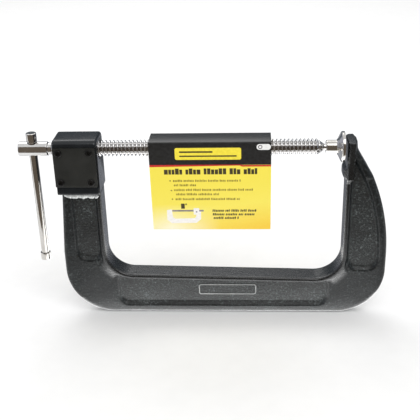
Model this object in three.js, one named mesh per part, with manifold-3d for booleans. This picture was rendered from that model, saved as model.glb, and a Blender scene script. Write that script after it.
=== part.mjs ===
// Eight-inch C clamp with a push-button quick release, standing on the back of its spine.
// Millimetres. +X runs along the screw towards the anvil, +Z is up, the release button faces +Y.
// The origin is the middle of the spine's flat underside, halfway between the two arms.
import * as THREE from "three";
import { mergeVertices } from "three/addons/utils/BufferGeometryUtils.js";
import Module from "manifold-3d";

const wasm = await Module();
wasm.setup();

// Running and seating gaps between neighbouring solids.
const GAP = 0.3;

// Driving dimensions of the clamp.
const AXIS_Z = 169.3;
const ARM_IN = 111.4;
const SPINE_OUT = 152.8;
const SPINE_TOP_LEFT = 43.9;
const SPINE_TOP_RIGHT = 39.9;
const OUTER_CORNER_R = 45.7;
const INNER_CORNER_R = 25.5;

// Section of the casting: web with sunk panels, and a wider smooth flange round the throat.
const WEB_HALF = 6.8;
const PANEL_HALF = 3.9;
const FLANGE_HALF = 11;
const FLANGE_T = 4.8;
const EDGE_BEVEL = 2.2;
const PANEL_R = 10.5;

// Arm that carries the head.
const ARM_TOP_Z = 129.2;
const ARM_TOP_OUT_X = -148.4;
const ARM_BEND_Z = 66;
const TENON = { x0: -141, x1: -123, half: 5.5, top: 135.5 };

// Horn that carries the anvil.
const HORN_R = 200;
const HORN_Z = 62;
const HORN_TURN = THREE.MathUtils.degToRad(23.3);
const HORN_PANEL_Z = 60;
const TIP_TOP_Z = 177;
const TIP_OUT_X = 119.8;
const TIP_SHOULDER = [120.6, 169];
const TIP_HALF = 13.4;
const TIP_NECK_Z = 137;
const ANVIL_X = 110.4;
const ANVIL_LOW_Z = 158;
const BOSS = { x: 107.9, half: 7.5, low: 138.5, flat0: 144.5, flat1: 150, high: 154.2 };

// Head: the housing on top of the left arm.
const HEAD = { x0: -151, x1: -111, half: 16.5, z0: 129.5, z1: 181.6 };
const HEAD_R = 5;
const LIP_Z = 137.2;
const LIP_INSET = 1.4;
const COVER = { x0: -150.2, x1: -112.3, z0: 137.5, z1: 175.6, t: 2.2 };
const REBATE_Y = -14;
const CAVITY = { x0: -141, x1: -122, y1: 11.5, z0: 141, z1: 175.6 };
const BUSH_OUT_R = 9.2;
const COVER_SCREWS = [
  [-145.3, 170.6],
  [-117.8, 170.8],
  [-145.3, 142.4],
  [-117.8, 142.2],
];
const COVER_SCREW_R = 1.7;
const COVER_SCREW_HEAD = { r: 3.2, t: 1.5 };
const WELD_X0 = -146;
const WELD_X1 = -113;

// Quick release: a block that slides across the head and carries half a nut.
const RELEASE_X = -131.5;
const BUTTON_Z = 152.5;
const BUTTON_TRAVEL = 2.5;
const BUTTON_R = 7.5;
const BUTTON_T = 5;
const STEM_R = 4.4;
const STEM_BUSH_R = 6.2;
const BLOCK = { x0: -140.6, x1: -122.4, y0: -11, y1: 11, z0: 141.4, z1: 160 };
const NUT_ARM_T = 1.4;
const NUT_TOP_Z = 175;
const POCKET_R = 4.5;
const POCKET_END_Y = 3;
const SPRING = { r: 3.4, wire: 0.45, y0: -11.9, y1: 2.4, turns: 6 };
const SEAT_R = 4.1;

// Screw with its handle end, neck and ball, from the outer end to the anvil end.
const THREAD_R = 7.4;
const HANDLE_R = 6.5;
const SCREW_X0 = -184.3;
const HANDLE_X1 = -158;
const THREAD_X0 = -154.5;
const THREAD_X1 = 84.3;
const CONE_X1 = 90;
const NECK_R = 2.7;
const BALL_X = 99;
const BALL_R = 3.9;

// Swivel pad on the ball.
const PAD_BACK_X = 92.7;
const PAD_FACE_X = 109.3;
const HUB_R = 6.05;
const PAD_R = 13.9;
const SOCKET_R = 4.5;
const MOUTH_R = 3.4;
const RING_R = 4;

// Sliding tommy bar, hanging from its upper end.
const BAR_X = -172;
const BAR_R = 3.65;
const BAR_HOLE_R = 4;
const BAR_Z0 = 57.6;
const BAR_Z1 = 183.4;
const CAP_R = 4.75;
const CAP_TOP = 1.1;
const LOWER_CAP_OVERLAP = 6;

// Printed card folded over the screw.
const CARD = { x0: -65, x1: 44, top: 179, bottom: 90.5, topHalf: 12.6, bottomHalf: 6.5, t: 0.8 };

const ROUND_SEGMENTS = 40;
const CURVE_SEGMENTS = 7;

const PAINT = { color: 0x2f3533, roughness: 0.5, metalness: 0.3 };
const SATIN_PAINT = { color: 0x1d2023, roughness: 0.4, metalness: 0.2 };
const COVER_PAINT = { color: 0x2b2c2a, roughness: 0.6, metalness: 0.2 };
const CHROME = { color: 0xc9c9c6, roughness: 0.2, metalness: 1 };
const NICKEL = { color: 0xb8b6b0, roughness: 0.3, metalness: 1 };
const STEEL = { color: 0x8d8f90, roughness: 0.4, metalness: 1 };
const BRONZE = { color: 0xa97c3f, roughness: 0.4, metalness: 1 };
const BLACK_SCREW = { color: 0x191919, roughness: 0.4, metalness: 0.7 };
const WELD = { color: 0xb9bcb8, roughness: 0.5, metalness: 0.8 };
const CARD_PRINT = { color: 0xf6d33c, roughness: 0.4, metalness: 0 };

// Axis maps: where a geometry's own x, y and z axes go.
const X = new THREE.Vector3(1, 0, 0);
const Y = new THREE.Vector3(0, 1, 0);
const Z = new THREE.Vector3(0, 0, 1);
const MINUS_Y = new THREE.Vector3(0, -1, 0);
const MINUS_Z = new THREE.Vector3(0, 0, -1);
const FRONT_OUTLINE = new THREE.Matrix4().makeBasis(X, Z, MINUS_Y);
const SIDE_OUTLINE = new THREE.Matrix4().makeBasis(Y, Z, X);
const LATHE_ON_X = new THREE.Matrix4().makeBasis(Y, X, MINUS_Z);
const LATHE_ON_Z = new THREE.Matrix4().makeBasis(X, Z, MINUS_Y);

function solidOf(geometry) {
  const bare = geometry.clone();
  bare.deleteAttribute("normal");
  bare.deleteAttribute("uv");
  const merged = mergeVertices(bare, 1e-4);
  return new wasm.Manifold(
    new wasm.Mesh({
      numProp: 3,
      vertProperties: merged.attributes.position.array,
      triVerts: new Uint32Array(merged.index.array),
    }),
  );
}

function geometryOf(solid) {
  const mesh = solid.getMesh();
  const geometry = new THREE.BufferGeometry();
  geometry.setAttribute("position", new THREE.BufferAttribute(mesh.vertProperties, 3));
  geometry.setIndex(new THREE.BufferAttribute(mesh.triVerts, 1));
  return geometry;
}

function join(...geometries) {
  return geometryOf(geometries.map(solidOf).reduce((a, b) => a.add(b)));
}

function cut(base, ...tools) {
  return geometryOf(tools.map(solidOf).reduce((a, b) => a.subtract(b), solidOf(base)));
}

function block(x0, x1, y0, y1, z0, z1) {
  const geometry = new THREE.BoxGeometry(x1 - x0, y1 - y0, z1 - z0);
  return geometry.translate((x0 + x1) / 2, (y0 + y1) / 2, (z0 + z1) / 2);
}

// An outline in the X-Z plane, as thick as y0 to y1, with its faces' edges bevelled.
function frontPlate(shape, y0, y1, bevel = 0) {
  const geometry = new THREE.ExtrudeGeometry(shape, {
    depth: y1 - y0 - 2 * bevel,
    bevelEnabled: bevel > 0,
    bevelThickness: bevel,
    bevelSize: bevel,
    bevelOffset: -bevel,
    bevelSegments: 2,
    curveSegments: CURVE_SEGMENTS,
  });
  geometry.applyMatrix4(FRONT_OUTLINE);
  return geometry.translate(0, y1 - bevel, 0);
}

// An outline in the Y-Z plane, from x0 to x1.
function sidePlate(shape, x0, x1) {
  const geometry = new THREE.ExtrudeGeometry(shape, {
    depth: x1 - x0,
    bevelEnabled: false,
    curveSegments: CURVE_SEGMENTS,
  });
  geometry.applyMatrix4(SIDE_OUTLINE);
  return geometry.translate(x0, 0, 0);
}

function lathe(points, segments = ROUND_SEGMENTS) {
  return new THREE.LatheGeometry(
    points.map(([r, along]) => new THREE.Vector2(r, along)),
    segments,
  );
}

// Profiles are [radius, place along the axis] and run towards +axis on the outside.
function turnedOnX(points, y = 0, z = AXIS_Z) {
  return lathe(points).applyMatrix4(LATHE_ON_X).translate(0, y, z);
}

function turnedOnY(points, x, z) {
  return lathe(points).translate(x, 0, z);
}

function turnedOnZ(points, x) {
  return lathe(points).applyMatrix4(LATHE_ON_Z).translate(x, 0, 0);
}

function rod(r, a, b) {
  return [
    [0, a],
    [r, a],
    [r, b],
    [0, b],
  ];
}

function tube(inner, outer, a, b) {
  return [
    [inner, a],
    [outer, a],
    [outer, b],
    [inner, b],
    [inner, a],
  ];
}

function polygon(points) {
  return new THREE.Shape(points.map(([a, b]) => new THREE.Vector2(a, b)));
}

function roundedRectangle(x0, x1, z0, z1, r) {
  const shape = new THREE.Shape();
  shape.moveTo(x0, z0 + r);
  shape.absarc(x0 + r, z0 + r, r, Math.PI, 1.5 * Math.PI, false);
  shape.absarc(x1 - r, z0 + r, r, 1.5 * Math.PI, 2 * Math.PI, false);
  shape.absarc(x1 - r, z1 - r, r, 0, 0.5 * Math.PI, false);
  shape.absarc(x0 + r, z1 - r, r, 0.5 * Math.PI, Math.PI, false);
  return shape;
}

// The throat's two round corners, drawn from the right arm to the left one.
function throatCorners(shape, r) {
  const cornerX = ARM_IN - INNER_CORNER_R;
  shape.absarc(cornerX, SPINE_TOP_RIGHT + INNER_CORNER_R, r, 0, -0.5 * Math.PI, true);
  shape.absarc(-cornerX, SPINE_TOP_LEFT + INNER_CORNER_R, r, -0.5 * Math.PI, -Math.PI, true);
}

function castingOutline() {
  const shape = new THREE.Shape();
  shape.moveTo(-ARM_IN, ARM_TOP_Z);
  shape.lineTo(ARM_TOP_OUT_X, ARM_TOP_Z);
  shape.lineTo(-SPINE_OUT, ARM_BEND_Z);
  const cornerR = OUTER_CORNER_R;
  shape.absarc(cornerR - SPINE_OUT, cornerR, cornerR, Math.PI, 1.5 * Math.PI, false);
  shape.absarc(SPINE_OUT - cornerR, cornerR, cornerR, 1.5 * Math.PI, 2 * Math.PI, false);
  shape.absarc(SPINE_OUT - HORN_R, HORN_Z, HORN_R, 0, HORN_TURN, false);
  shape.lineTo(...TIP_SHOULDER);
  shape.lineTo(TIP_OUT_X, TIP_TOP_Z - 0.5);
  shape.lineTo(ARM_IN, TIP_TOP_Z - 0.5);
  throatCorners(shape, INNER_CORNER_R);
  return shape;
}

function flangeOutline() {
  const shape = new THREE.Shape();
  const outer = INNER_CORNER_R + FLANGE_T;
  const cornerX = ARM_IN - INNER_CORNER_R;
  shape.moveTo(-ARM_IN, ARM_TOP_Z);
  shape.lineTo(-ARM_IN - FLANGE_T, ARM_TOP_Z);
  shape.absarc(-cornerX, SPINE_TOP_LEFT + INNER_CORNER_R, outer, Math.PI, 1.5 * Math.PI, false);
  shape.absarc(cornerX, SPINE_TOP_RIGHT + INNER_CORNER_R, outer, 1.5 * Math.PI, 2 * Math.PI, false);
  shape.lineTo(ARM_IN + FLANGE_T, TIP_NECK_Z + 10);
  shape.lineTo(ARM_IN, TIP_NECK_Z + 10);
  throatCorners(shape, INNER_CORNER_R);
  return shape;
}

// The horn's end seen from the screw: it widens above the neck and has round top corners.
function tipOutline(lowZ, inset) {
  const half = TIP_HALF - inset;
  const cornerR = 6;
  const shape = new THREE.Shape();
  if (lowZ > TIP_NECK_Z) {
    shape.moveTo(-half, lowZ);
    shape.lineTo(half, lowZ);
  } else {
    shape.moveTo(-FLANGE_HALF + EDGE_BEVEL, lowZ);
    shape.lineTo(FLANGE_HALF - EDGE_BEVEL, lowZ);
    shape.quadraticCurveTo(half, lowZ + 5, half, lowZ + 14);
  }
  shape.absarc(half - cornerR, TIP_TOP_Z - inset - cornerR, cornerR, 0, 0.5 * Math.PI, false);
  shape.absarc(cornerR - half, TIP_TOP_Z - inset - cornerR, cornerR, 0.5 * Math.PI, Math.PI, false);
  if (lowZ <= TIP_NECK_Z) {
    shape.lineTo(-half, lowZ + 14);
    shape.quadraticCurveTo(-half, lowZ + 5, -FLANGE_HALF + EDGE_BEVEL, lowZ);
  }
  return shape;
}

// The three sunk panels; each runs under the flange, which covers its inner side.
function panelOutlines() {
  const spine = roundedRectangle(-99.5, 96.5, 12, 42.5, PANEL_R);
  const arm = roundedRectangle(-138.8, -113, 58, 123.5, PANEL_R);
  const horn = new THREE.Shape();
  const endR = 12;
  const rim = 10;
  horn.moveTo(114, 157);
  horn.lineTo(114, HORN_PANEL_Z);
  horn.absarc(SPINE_OUT - rim - endR, HORN_PANEL_Z, endR, 1.15 * Math.PI, 2 * Math.PI, false);
  horn.absarc(SPINE_OUT - HORN_R, HORN_Z, HORN_R - rim, 0, HORN_TURN, false);
  return [spine, arm, horn];
}

function frameCasting() {
  const web = frontPlate(castingOutline(), -WEB_HALF, WEB_HALF, EDGE_BEVEL);
  const pockets = panelOutlines().flatMap((outline) => [
    frontPlate(outline, PANEL_HALF, 2 * WEB_HALF),
    frontPlate(outline, -2 * WEB_HALF, -PANEL_HALF),
  ]);
  const flange = frontPlate(flangeOutline(), -FLANGE_HALF, FLANGE_HALF, EDGE_BEVEL);
  const tip = sidePlate(tipOutline(TIP_NECK_Z, 0), ARM_IN, TIP_OUT_X);
  const anvil = sidePlate(tipOutline(ANVIL_LOW_Z, 0.8), ANVIL_X, ARM_IN + 1);
  const bossOutline = polygon([
    [ARM_IN + 1, BOSS.low],
    [ARM_IN + 1, BOSS.high],
    [ARM_IN, BOSS.high],
    [BOSS.x, BOSS.flat1],
    [BOSS.x, BOSS.flat0],
    [ARM_IN, BOSS.low],
  ]);
  const boss = frontPlate(bossOutline, -BOSS.half, BOSS.half);
  const tenon = block(TENON.x0, TENON.x1, -TENON.half, TENON.half, ARM_TOP_Z - 2, TENON.top);
  return join(cut(web, ...pockets), flange, tip, anvil, boss, tenon);
}

function headHousing() {
  const outline = new THREE.Shape();
  outline.moveTo(HEAD.x0 + LIP_INSET, HEAD.z0);
  outline.lineTo(HEAD.x1, HEAD.z0);
  outline.absarc(HEAD.x1 - HEAD_R, HEAD.z1 - HEAD_R, HEAD_R, 0, 0.5 * Math.PI, false);
  outline.absarc(HEAD.x0 + HEAD_R, HEAD.z1 - HEAD_R, HEAD_R, 0.5 * Math.PI, Math.PI, false);
  outline.lineTo(HEAD.x0, LIP_Z);
  outline.lineTo(HEAD.x0 + LIP_INSET, LIP_Z);
  const bevel = 1.2;
  const body = frontPlate(outline, -HEAD.half, HEAD.half, bevel);
  const middle = block(
    HEAD.x0 - 1, HEAD.x1 + 1, -2 * HEAD.half, REBATE_Y, COVER.z0 - GAP, COVER.z1 + GAP,
  );
  const cavity = block(CAVITY.x0, CAVITY.x1, REBATE_Y, CAVITY.y1, CAVITY.z0, CAVITY.z1);
  const screwBore = turnedOnX(rod(BUSH_OUT_R + GAP, HEAD.x0 - 5, HEAD.x1 + 5));
  const stemBore = turnedOnY(rod(STEM_BUSH_R + GAP, 5, HEAD.half + 5), RELEASE_X, BUTTON_Z);
  const socket = block(
    TENON.x0 - GAP, TENON.x1 + GAP, -TENON.half - GAP, TENON.half + GAP, HEAD.z0 - 3, TENON.top + GAP,
  );
  const screwHoles = COVER_SCREWS.map(([x, z]) =>
    turnedOnY(rod(COVER_SCREW_R + GAP, -HEAD.half - 1, -HEAD.half + 6.6), x, z),
  );
  return cut(body, middle, cavity, screwBore, stemBore, socket, ...screwHoles);
}

function coverPlate() {
  const outline = roundedRectangle(COVER.x0, COVER.x1, COVER.z0, COVER.z1, 1.5);
  const y1 = REBATE_Y - GAP;
  const plate = frontPlate(outline, y1 - COVER.t, y1, 0.4);
  const holes = COVER_SCREWS.map(([x, z]) =>
    turnedOnY(rod(COVER_SCREW_R + GAP, y1 - COVER.t - 2, y1 + 2), x, z),
  );
  return cut(plate, ...holes);
}

function coverScrew([x, z]) {
  const seat = REBATE_Y - COVER.t - 2 * GAP;
  const { r, t } = COVER_SCREW_HEAD;
  const profile = [
    [0, seat - t],
    [0.6 * r, seat - t],
    [r, seat - 0.5 * t],
    [r, seat],
    [COVER_SCREW_R, seat],
    [COVER_SCREW_R, -HEAD.half + 6],
    [0, -HEAD.half + 6.3],
  ];
  return turnedOnY(profile, x, z);
}

function guideBush(x0, x1) {
  return turnedOnX(tube(THREAD_R + GAP, BUSH_OUT_R, x0, x1));
}

// A bead of weld in the corner between the arm's face and the underside of the head;
// side is -1 at the front and 1 at the back.
function weldBead(side) {
  const inner = side * (WEB_HALF + GAP);
  const top = HEAD.z0 - GAP;
  const section = polygon([
    [inner, top],
    [inner + side * 5.3, top],
    [inner + side * 4.2, top - 2],
    [inner, top - 4.1],
  ]);
  const flangeEnd = frontPlate(
    roundedRectangle(-ARM_IN - FLANGE_T - GAP, -ARM_IN + 2, ARM_TOP_Z - 10, ARM_TOP_Z + 5, 1),
    -FLANGE_HALF - GAP,
    FLANGE_HALF + GAP,
  );
  return cut(sidePlate(section, WELD_X0, WELD_X1), flangeEnd);
}

// The block is an L: a thick foot below the screw and a thin arm beside it that backs the half nut.
function releaseBlock() {
  const outline = polygon([
    [BLOCK.y0, BLOCK.z0],
    [BLOCK.y1, BLOCK.z0],
    [BLOCK.y1, BLOCK.z1],
    [BLOCK.y0 + NUT_ARM_T, BLOCK.z1],
    [BLOCK.y0 + NUT_ARM_T, NUT_TOP_Z],
    [BLOCK.y0, NUT_TOP_Z],
  ]);
  const body = sidePlate(outline, BLOCK.x0, BLOCK.x1);
  const springPocket = turnedOnY(rod(POCKET_R, BLOCK.y0 - 1, POCKET_END_Y), RELEASE_X, BUTTON_Z);
  const stemSocket = turnedOnY(rod(STEM_R + GAP, BLOCK.y1 - 4, BLOCK.y1 + 1), RELEASE_X, BUTTON_Z);
  return cut(body, springPocket, stemSocket);
}

function halfNut() {
  const y0 = BLOCK.y0 + NUT_ARM_T + GAP;
  const body = block(BLOCK.x0, BLOCK.x1, y0, -2.5, BLOCK.z1 + GAP, NUT_TOP_Z);
  const thread = turnedOnX(rod(THREAD_R + GAP, BLOCK.x0 - 5, BLOCK.x1 + 5));
  return cut(body, thread);
}

function releaseButton() {
  const under = HEAD.half + BUTTON_TRAVEL + GAP;
  const top = under + BUTTON_T;
  return turnedOnY(
    [
      [0, BLOCK.y1 - 4 + GAP],
      [STEM_R, BLOCK.y1 - 4 + GAP],
      [STEM_R, under],
      [BUTTON_R, under],
      [BUTTON_R, top - 1.2],
      [BUTTON_R - 0.4, top - 0.4],
      [BUTTON_R - 1.3, top],
      [0, top],
    ],
    RELEASE_X,
    BUTTON_Z,
  );
}

function stemBush() {
  return turnedOnY(
    tube(STEM_R + GAP, STEM_BUSH_R, CAVITY.y1 + GAP, HEAD.half - 0.2),
    RELEASE_X,
    BUTTON_Z,
  );
}

function springSeat() {
  const y0 = REBATE_Y;
  return turnedOnY(
    [
      [0, y0],
      [SEAT_R, y0],
      [SEAT_R, y0 + 1.2],
      [SPRING.r - SPRING.wire - GAP, y0 + 1.2],
      [SPRING.r - SPRING.wire - GAP - 0.5, y0 + 4.2],
      [0, y0 + 4.2],
    ],
    RELEASE_X,
    BUTTON_Z,
  );
}

class Helix extends THREE.Curve {
  getPoint(t, target = new THREE.Vector3()) {
    const angle = 2 * Math.PI * SPRING.turns * t;
    const along = THREE.MathUtils.lerp(SPRING.y0, SPRING.y1, t);
    return target.set(
      RELEASE_X + SPRING.r * Math.cos(angle),
      along,
      BUTTON_Z + SPRING.r * Math.sin(angle),
    );
  }
}

function returnSpring() {
  const wire = new THREE.Shape();
  wire.absarc(0, 0, SPRING.wire, 0, 2 * Math.PI, false);
  return new THREE.ExtrudeGeometry(wire, {
    steps: SPRING.turns * 12,
    extrudePath: new Helix(),
    bevelEnabled: false,
    curveSegments: 3,
  });
}

function screwSpindle() {
  const ballSteps = 8;
  const start = Math.PI - Math.asin(NECK_R / BALL_R);
  const ball = Array.from({ length: ballSteps + 1 }, (_, i) => {
    const angle = start * (1 - i / ballSteps);
    return [i === ballSteps ? 0 : BALL_R * Math.sin(angle), BALL_X + BALL_R * Math.cos(angle)];
  });
  const profile = [
    [0, SCREW_X0],
    [HANDLE_R - 0.9, SCREW_X0],
    [HANDLE_R, SCREW_X0 + 0.9],
    [HANDLE_R, HANDLE_X1 - 0.5],
    [5.4, HANDLE_X1],
    [5.4, THREAD_X0],
    [THREAD_R, THREAD_X0 + 1],
    [THREAD_R, THREAD_X1],
    [3.4, CONE_X1],
    [NECK_R, CONE_X1 + 0.6],
    ...ball,
  ];
  const hole = turnedOnZ(rod(BAR_HOLE_R, AXIS_Z - 15, AXIS_Z + 15), BAR_X);
  return cut(turnedOnX(profile), hole);
}

function swivelPad() {
  return turnedOnX([
    [0, BALL_X + BALL_R + GAP],
    [SOCKET_R, BALL_X + BALL_R + GAP],
    [SOCKET_R, PAD_BACK_X + 1.4],
    [MOUTH_R, PAD_BACK_X + 1.4],
    [MOUTH_R, PAD_BACK_X],
    [HUB_R - 1.5, PAD_BACK_X],
    [HUB_R, PAD_BACK_X + 1.6],
    [HUB_R, 102],
    [HUB_R + 1.2, 103.2],
    [PAD_R - 0.5, 106.6],
    [PAD_R, 107.2],
    [PAD_R, PAD_FACE_X - 0.6],
    [PAD_R - 0.6, PAD_FACE_X],
    [0, PAD_FACE_X],
  ]);
}

// The ring behind the ball that keeps the pad on when the screw is drawn back.
function ballRing() {
  return turnedOnX(tube(NECK_R + GAP, RING_R, PAD_BACK_X + 1.7, PAD_BACK_X + 2.7));
}

function tommyBar() {
  return turnedOnZ(
    [
      [0, BAR_Z0],
      [BAR_R - 0.5, BAR_Z0],
      [BAR_R, BAR_Z0 + 0.5],
      [BAR_R, BAR_Z1 - 0.5],
      [BAR_R - 0.5, BAR_Z1],
      [0, BAR_Z1],
    ],
    BAR_X,
  );
}

// A pressed-on end cap; it opens towards the middle of the bar.
function barCap(openZ, closedZ) {
  const dir = Math.sign(closedZ - openZ);
  const profile = [
    [0, closedZ - dir * 0.8],
    [BAR_R + GAP, closedZ - dir * 0.8],
    [BAR_R + GAP, openZ],
    [CAP_R - 0.3, openZ],
    [CAP_R, openZ + dir * 0.5],
    [CAP_R, closedZ - dir * 0.7],
    [CAP_R - 0.7, closedZ],
    [0, closedZ],
  ];
  return turnedOnZ(dir > 0 ? profile : profile.reverse(), BAR_X);
}

function cardSleeve() {
  const { top, bottom, topHalf, bottomHalf, t } = CARD;
  const crease = 1.2;
  const right = [
    [bottomHalf, bottom],
    [topHalf, top - crease],
    [topHalf - crease, top],
  ];
  const rightInside = [
    [topHalf - crease - 0.3, top - t],
    [topHalf - t, top - crease - 0.3],
    [bottomHalf - t, bottom],
  ];
  const mirrored = (points) => points.map(([y, z]) => [-y, z]).reverse();
  const outline = polygon([...right, ...mirrored(right), ...mirrored(rightInside), ...rightInside]);
  return sidePlate(outline, CARD.x0, CARD.x1);
}

const clamp = new THREE.Group();
clamp.name = "c_clamp";

function add(name, geometry, look) {
  const mesh = new THREE.Mesh(geometry, new THREE.MeshStandardMaterial(look));
  mesh.name = name;
  clamp.add(mesh);
}

add("frame_casting", frameCasting(), PAINT);
add("head_housing", headHousing(), SATIN_PAINT);
add("weld_bead_front", weldBead(-1), WELD);
add("weld_bead_back", weldBead(1), WELD);
add("cover_plate", coverPlate(), COVER_PAINT);
COVER_SCREWS.forEach((place, i) => add(`cover_screw_${i + 1}`, coverScrew(place), BLACK_SCREW));
add("guide_bush_outer", guideBush(HEAD.x0 + 0.3, CAVITY.x0 - 0.2), BRONZE);
add("guide_bush_inner", guideBush(CAVITY.x1 + 0.2, HEAD.x1 - 0.3), BRONZE);
add("release_block", releaseBlock(), STEEL);
add("half_nut", halfNut(), BRONZE);
add("release_button", releaseButton(), BLACK_SCREW);
add("stem_bush", stemBush(), BRONZE);
add("spring_seat", springSeat(), STEEL);
add("return_spring", returnSpring(), STEEL);
add("screw_spindle", screwSpindle(), CHROME);
add("swivel_pad", swivelPad(), NICKEL);
add("ball_ring", ballRing(), STEEL);
add("tommy_bar", tommyBar(), NICKEL);
add("bar_cap_upper", barCap(AXIS_Z + HANDLE_R + GAP, BAR_Z1 + CAP_TOP), NICKEL);
add("bar_cap_lower", barCap(BAR_Z0 + LOWER_CAP_OVERLAP, BAR_Z0 - CAP_TOP), NICKEL);
add("card_sleeve", cardSleeve(), CARD_PRINT);

export default clamp;
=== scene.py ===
# Eight-inch C clamp with a push-button quick release and a printed card folded over its screw.
# Shapes are written in millimetres in the part's own frame and become metres when a mesh is made.
import math
import random

import bmesh
import bpy
import numpy as np
from mathutils import Matrix, Vector
from mathutils.geometry import delaunay_2d_cdt


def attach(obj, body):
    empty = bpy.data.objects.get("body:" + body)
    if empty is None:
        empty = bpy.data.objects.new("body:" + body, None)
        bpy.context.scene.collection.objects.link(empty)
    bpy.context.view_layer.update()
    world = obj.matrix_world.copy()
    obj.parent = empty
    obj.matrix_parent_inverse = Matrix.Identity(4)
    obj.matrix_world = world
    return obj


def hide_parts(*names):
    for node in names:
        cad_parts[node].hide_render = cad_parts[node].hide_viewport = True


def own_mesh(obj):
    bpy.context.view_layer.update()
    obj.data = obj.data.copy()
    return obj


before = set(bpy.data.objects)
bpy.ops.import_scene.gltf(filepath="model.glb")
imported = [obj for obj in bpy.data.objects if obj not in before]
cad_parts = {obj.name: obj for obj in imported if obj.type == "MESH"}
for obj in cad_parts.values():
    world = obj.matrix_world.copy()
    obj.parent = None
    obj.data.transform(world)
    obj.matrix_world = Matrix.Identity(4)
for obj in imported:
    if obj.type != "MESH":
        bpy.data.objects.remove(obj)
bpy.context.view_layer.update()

MM = 0.001
RNG = random.Random(7)

# Sizes that the visual pieces share, in millimetres.
AXIS_Z = 169.3
ARM_IN = 111.4
THREAD_PITCH = 3.5
THREAD_R = 7.4
THREAD_ROOT_R = 5.3
HANDLE_R = 6.5
BAR_X = -172.0
BUTTON_X = -131.5
BUTTON_Z = 152.5


# ---------------------------------------------------------------- materials

def new_material(name):
    material = bpy.data.materials.new(name)
    material.use_nodes = True
    tree = material.node_tree
    shader = tree.nodes["Principled BSDF"]
    return material, tree, shader


def add_node(tree, kind, **settings):
    node = tree.nodes.new(kind)
    for key, value in settings.items():
        if key.startswith("in_"):
            socket = key[3:].replace("_", " ")
            node.inputs[socket].default_value = value
        else:
            setattr(node, key, value)
    return node


def object_coordinates(tree, stretch=(1, 1, 1)):
    coordinates = add_node(tree, "ShaderNodeTexCoord")
    mapping = add_node(tree, "ShaderNodeMapping")
    mapping.inputs["Scale"].default_value = stretch
    tree.links.new(coordinates.outputs["Object"], mapping.inputs["Vector"])
    return mapping.outputs["Vector"]


def noise(tree, vector, scale, detail=3.0, roughness=0.5, distortion=0.0):
    node = add_node(tree, "ShaderNodeTexNoise")
    node.inputs["Scale"].default_value = scale
    node.inputs["Detail"].default_value = detail
    node.inputs["Roughness"].default_value = roughness
    node.inputs["Distortion"].default_value = distortion
    tree.links.new(vector, node.inputs["Vector"])
    return node.outputs["Fac"]


def ramp(tree, value, stops):
    node = add_node(tree, "ShaderNodeValToRGB")
    elements = node.color_ramp.elements
    while len(elements) < len(stops):
        elements.new(0.5)
    for element, (place, color) in zip(elements, stops):
        element.position = place
        element.color = (*color, 1.0)
    tree.links.new(value, node.inputs["Fac"])
    return node.outputs["Color"]


def remap(tree, value, low, high, start=0.0, end=1.0):
    node = add_node(tree, "ShaderNodeMapRange")
    node.inputs["From Min"].default_value = start
    node.inputs["From Max"].default_value = end
    node.inputs["To Min"].default_value = low
    node.inputs["To Max"].default_value = high
    tree.links.new(value, node.inputs["Value"])
    return node.outputs["Result"]


def math_node(tree, operation, a, b):
    node = add_node(tree, "ShaderNodeMath", operation=operation)
    for socket, value in zip(node.inputs, (a, b)):
        if isinstance(value, (int, float)):
            socket.default_value = value
        else:
            tree.links.new(value, socket)
    return node.outputs["Value"]


def bump(tree, shader, height, strength, distance, before=None):
    node = add_node(tree, "ShaderNodeBump")
    node.inputs["Distance"].default_value = distance
    if isinstance(strength, (int, float)):
        node.inputs["Strength"].default_value = strength
    else:
        tree.links.new(strength, node.inputs["Strength"])
    tree.links.new(height, node.inputs["Height"])
    if before is not None:
        tree.links.new(before, node.inputs["Normal"])
    tree.links.new(node.outputs["Normal"], shader.inputs["Normal"])
    return node.outputs["Normal"]


def plain_finish(name, dark, light, rough=(0.3, 0.4), metal=0.0, grain=700.0, depth=0.00002,
                 strength=0.3, stretch=(1, 1, 1), patch=60.0, coat=0.0, specular=0.5):
    """A surface whose colour and gloss drift slowly, with a fine grain in its relief."""
    material, tree, shader = new_material(name)
    vector = object_coordinates(tree, stretch)
    drift = noise(tree, vector, patch, 4.0)
    fine = noise(tree, vector, grain, 3.0)
    slow = math_node(tree, "MULTIPLY", drift, 0.65)
    blend = math_node(tree, "ADD", math_node(tree, "MULTIPLY", fine, 0.35), slow)
    tree.links.new(ramp(tree, blend, [(0.35, dark), (0.65, light)]), shader.inputs["Base Color"])
    tree.links.new(remap(tree, drift, rough[0], rough[1], 0.3, 0.7), shader.inputs["Roughness"])
    shader.inputs["Metallic"].default_value = metal
    shader.inputs["Coat Weight"].default_value = coat
    shader.inputs["Specular IOR Level"].default_value = specular
    shader.inputs["Coat Roughness"].default_value = 0.15
    bump(tree, shader, fine, strength, depth)
    return material


def paint_groove_shade(material):
    """Paints shade into a finish: darkens it where the mesh says it lies deep in a groove."""
    tree = material.node_tree
    shader = tree.nodes["Principled BSDF"]
    plate = shader.inputs["Base Color"].links[0].from_socket
    groove = add_node(tree, "ShaderNodeAttribute", attribute_name="groove")
    mix = add_node(tree, "ShaderNodeMix", data_type="RGBA")
    # the painted shade colour laid into the thread's grooves
    mix.inputs["B"].default_value = (0.20, 0.185, 0.18, 1.0)
    tree.links.new(math_node(tree, "MULTIPLY", groove.outputs["Fac"], 0.55), mix.inputs["Factor"])
    tree.links.new(plate, mix.inputs["A"])
    tree.links.new(mix.outputs["Result"], shader.inputs["Base Color"])


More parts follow.
